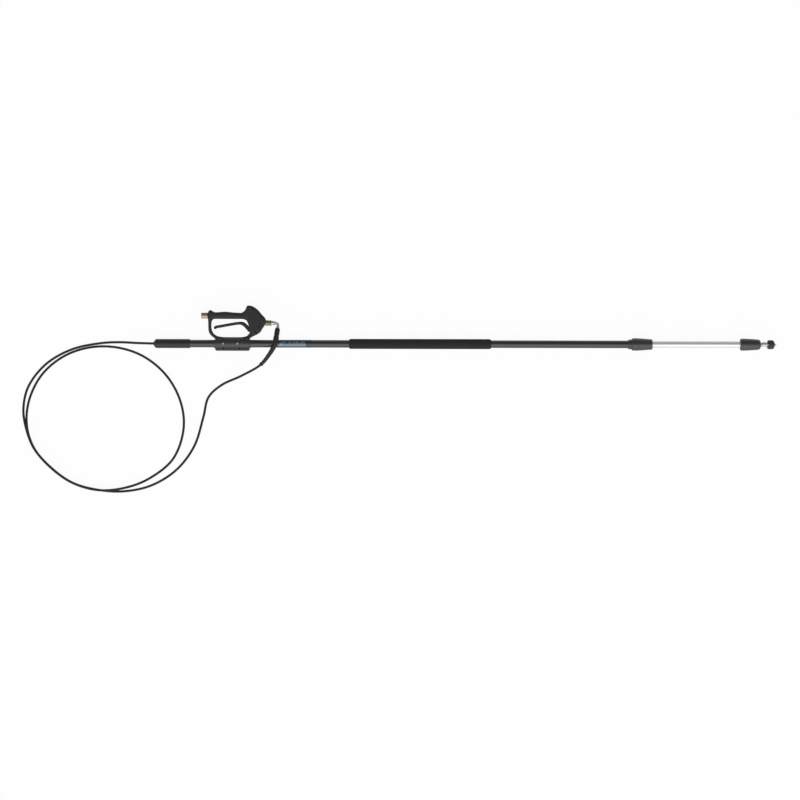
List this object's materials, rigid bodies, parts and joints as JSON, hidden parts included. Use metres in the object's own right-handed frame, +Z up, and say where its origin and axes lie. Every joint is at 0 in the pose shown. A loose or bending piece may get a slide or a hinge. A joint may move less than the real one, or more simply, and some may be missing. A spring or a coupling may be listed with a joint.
{
  "type": "window cleaning pole system",
  "caption": "Telescopic pressure-cleaning pole with a twist lock, a clamped trigger gun beside it and a hose that runs through the pole to the spray nozzle.",
  "frame": {"origin": "on the floor under the middle of the rigid pieces, without the free hose", "axes": "+X along the pole to the nozzle, +Y towards the trigger gun, +Z up from the floor"},
  "size_m": [2.8133, 0.6994, 0.0592],
  "materials": {
    "outer_tube": "pultruded glass-fibre tube, glossy charcoal",
    "inner_tube": "clear anodised, satin",
    "grip_rubber": "matt moulded rubber",
    "grip_foam": "matt foam rubber sleeve",
    "label_film": "bare printed film band, blue-grey",
    "lock_nylon": "moulded nylon, semi-gloss",
    "glide_acetal": "moulded acetal, natural",
    "clamp_nylon": "moulded nylon, satin",
    "gun_nylon": "moulded glass-filled nylon, fine texture",
    "brass": "machined brass",
    "nickel_plated": "bright nickel plate on brass",
    "stainless_steel": "turned stainless steel",
    "black_steel": "black oxide steel",
    "seal_rubber": "moulded black rubber",
    "hose_rubber": "smooth extruded hose cover",
    "nozzle_guard": "moulded rubber, olive black"
  },
  "bodies": {
    "pole": {"outer_tube": "outer_tube", "butt_grip": "grip_rubber", "butt_hose_guide": "lock_nylon", "pole_label": "label_film", "mid_grip": "grip_foam", "lock_body": "lock_nylon", "lock_collet": "glide_acetal", "gun_shell_near": "gun_nylon", "gun_shell_far": "gun_nylon", "inlet_fitting": "brass", "inlet_tube": "stainless_steel", "valve_body": "brass", "valve_seat": "glide_acetal", "valve_spring": "stainless_steel", "valve_cap": "brass", "rod_gland": "brass", "gland_seal": "seal_rubber", "outlet_fitting": "brass", "union_nut": "nickel_plated", "elbow": "nickel_plated", "hose_ferrule": "nickel_plated", "ferrule_cover": "seal_rubber", "trigger_pin": "black_steel", "gun_screw_rear": "black_steel", "gun_screw_crest": "black_steel", "gun_screw_nose": "black_steel", "gun_screw_foot": "black_steel", "bracket_near": "clamp_nylon", "bracket_far": "clamp_nylon", "bend_guard": "seal_rubber", "hose_loop": "hose_rubber", "hose_in_pole": "hose_rubber", "lock_screw_1": "stainless_steel", "lock_screw_2": "stainless_steel", "clamp_screw_upper_1": "black_steel", "clamp_nut_upper_1": "stainless_steel", "clamp_screw_upper_2": "black_steel", "clamp_nut_upper_2": "stainless_steel", "clamp_screw_lower_1": "black_steel", "clamp_nut_lower_1": "stainless_steel", "clamp_screw_lower_2": "black_steel", "clamp_nut_lower_2": "stainless_steel"},
    "lock_collar": {"twist_collar": "lock_nylon"},
    "carriage": {"glide_ring": "glide_acetal"},
    "inner_pole": {"inner_tube": "inner_tube", "tail_plug": "lock_nylon", "end_collar": "lock_nylon", "end_bush": "glide_acetal", "hose_end_fitting": "nickel_plated", "nozzle_seal": "seal_rubber", "nozzle": "stainless_steel", "nozzle_guard": "nozzle_guard"},
    "trigger": {"trigger": "gun_nylon", "latch_pin": "stainless_steel"},
    "push_rod": {"push_rod": "stainless_steel", "valve_ball": "stainless_steel"},
    "latch": {"safety_latch": "gun_nylon"}
  },
  "joints": [
    {"name": "pole_slide", "type": "slide", "parent": "pole", "child": "carriage", "axis": [1, 0, 0], "range_m": [-0.32, 1.2], "deforming": ["hose_in_pole"]},
    {"name": "inner_pole_turn", "type": "hinge", "parent": "carriage", "child": "inner_pole", "pos_m": [0, -0.05774, 0.0233], "axis": [1, 0, 0], "range_deg": [-90, 90]},
    {"name": "collar_twist", "type": "hinge", "parent": "pole", "child": "lock_collar", "pos_m": [0.6, -0.05774, 0.0233], "axis": [1, 0, 0], "range_deg": [0, 150]},
    {"name": "trigger_squeeze", "type": "hinge", "parent": "pole", "child": "trigger", "pos_m": [-0.76585, 0.00476, 0.0233], "axis": [0, 0, -1], "range_deg": [0, 7.5], "stiffness_Nm_per_rad": 4, "springref_deg": -3.44},
    {"name": "rod_lift", "type": "slide", "parent": "pole", "child": "push_rod", "axis": [0, 1, 0], "range_m": [0, 0.0024], "deforming": ["valve_spring"]},
    {"name": "latch_swing", "type": "hinge", "parent": "trigger", "child": "latch", "pos_m": [-0.92235, 0.00566, 0.0233], "axis": [0, 0, -1], "range_deg": [-80, 0]}
  ],
  "couplings": [
    {"joint": "rod_lift", "follows": "trigger_squeeze", "m_per_rad": 0.018}
  ]
}
